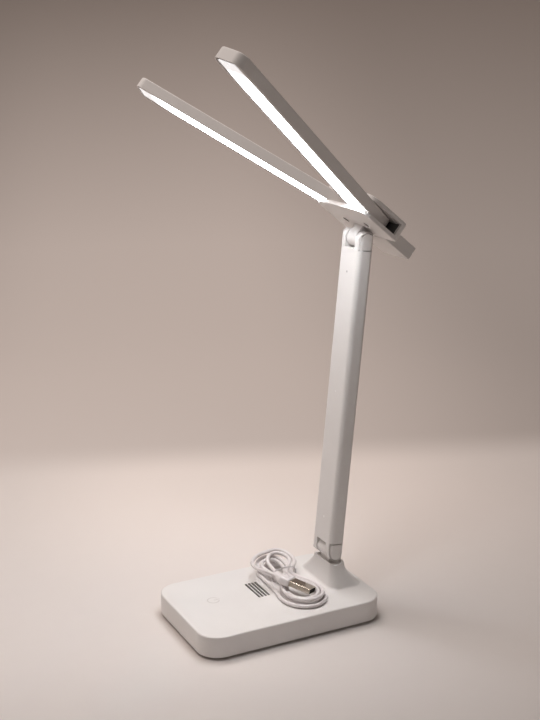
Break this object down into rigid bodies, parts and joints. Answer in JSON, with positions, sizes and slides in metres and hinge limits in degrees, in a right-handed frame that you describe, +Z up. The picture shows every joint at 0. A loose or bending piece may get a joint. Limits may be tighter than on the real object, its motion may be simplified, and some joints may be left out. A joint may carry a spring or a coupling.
{
  "type": "led table lamp",
  "caption": "White folding desk lamp with swinging light bars on a hinged post, flat base and tied charging lead.",
  "frame": {"origin": "centre of the base on the plane that its feet stand on", "axes": "+Z up, -Y towards the front of the base, +Y towards the post, +X to the right seen from the front"},
  "size_m": [0.2669, 0.2012, 0.4543],
  "materials": {
    "white_shell": "fine satin moulded",
    "diffuser": "milky, lit from behind",
    "clear_guide": "clear, dotted on the rear",
    "reflector": "white film",
    "led_strip": "white board with small emitters",
    "steel": "plain",
    "washer": "bearing plastic",
    "plug_metal": "stamped, slightly warm",
    "plug_insert": "black moulded",
    "lead_jacket": "soft gloss jacket",
    "tie": "coated wire",
    "rubber": "matt",
    "battery": "wrapped cell",
    "board": "solder mask",
    "copper": "foil",
    "wire": "insulated",
    "mark": "printed inlay",
    "mesh": "black mesh"
  },
  "bodies": {
    "base": {"base_upper_shell": "white_shell", "base_bottom_cover": "white_shell", "rubber_feet": "rubber", "base_screws": "steel", "counterweight_plate": "steel", "battery_pack": "battery", "control_board": "board", "charging_port": "plug_metal", "touch_electrode": "copper", "base_wires": "wire", "touch_mark": "mark", "vent_backing": "mesh", "lower_hinge_tongue": "white_shell", "charging_lead": "lead_jacket", "lead_tie": "tie", "charger_plug_grip": "lead_jacket", "charger_plug_shell": "plug_metal", "charger_plug_insert": "plug_insert", "lamp_plug_grip": "lead_jacket", "lamp_plug_shell": "plug_metal"},
    "post": {"post_channel": "white_shell", "post_back_cover": "white_shell", "post_core_strip": "steel", "post_harness": "wire", "lower_hinge_pin": "steel", "lower_hinge_washers": "washer", "lower_hinge_caps": "white_shell", "upper_hinge_pin": "steel", "upper_hinge_washers": "washer", "upper_hinge_caps": "white_shell"},
    "head": {"bracket_lower_plate": "white_shell", "bracket_upper_cover": "white_shell", "head_stop_pad": "rubber", "rear_tab": "white_shell", "pivot_sleeves": "washer", "pivot_screws": "steel"},
    "left_bar": {"left_bar_housing": "white_shell", "left_bar_diffuser": "diffuser", "left_bar_light_guide": "clear_guide", "left_bar_reflector": "reflector", "left_bar_led_strips": "led_strip"},
    "right_bar": {"right_bar_housing": "white_shell", "right_bar_diffuser": "diffuser", "right_bar_light_guide": "clear_guide", "right_bar_reflector": "reflector", "right_bar_led_strips": "led_strip"}
  },
  "joints": [
    {"name": "post_fold", "type": "hinge", "parent": "base", "child": "post", "pos_m": [0, 0.05495, 0.0483], "axis": [1, 0, 0], "range_deg": [-20, 60]},
    {"name": "head_tilt", "type": "hinge", "parent": "post", "child": "head", "pos_m": [0, 0.07841, 0.30603], "axis": [1, 0, 0], "range_deg": [-50, 120]},
    {"name": "left_bar_swing", "type": "hinge", "parent": "head", "child": "left_bar", "pos_m": [-0.0152, 0.08182, 0.32534], "axis": [0, -0.6252, -0.7804], "range_deg": [-45, 45]},
    {"name": "right_bar_swing", "type": "hinge", "parent": "head", "child": "right_bar", "pos_m": [0.0152, 0.08182, 0.32534], "axis": [0, 0.6252, 0.7804], "range_deg": [-19.5, 70.5]}
  ]
}
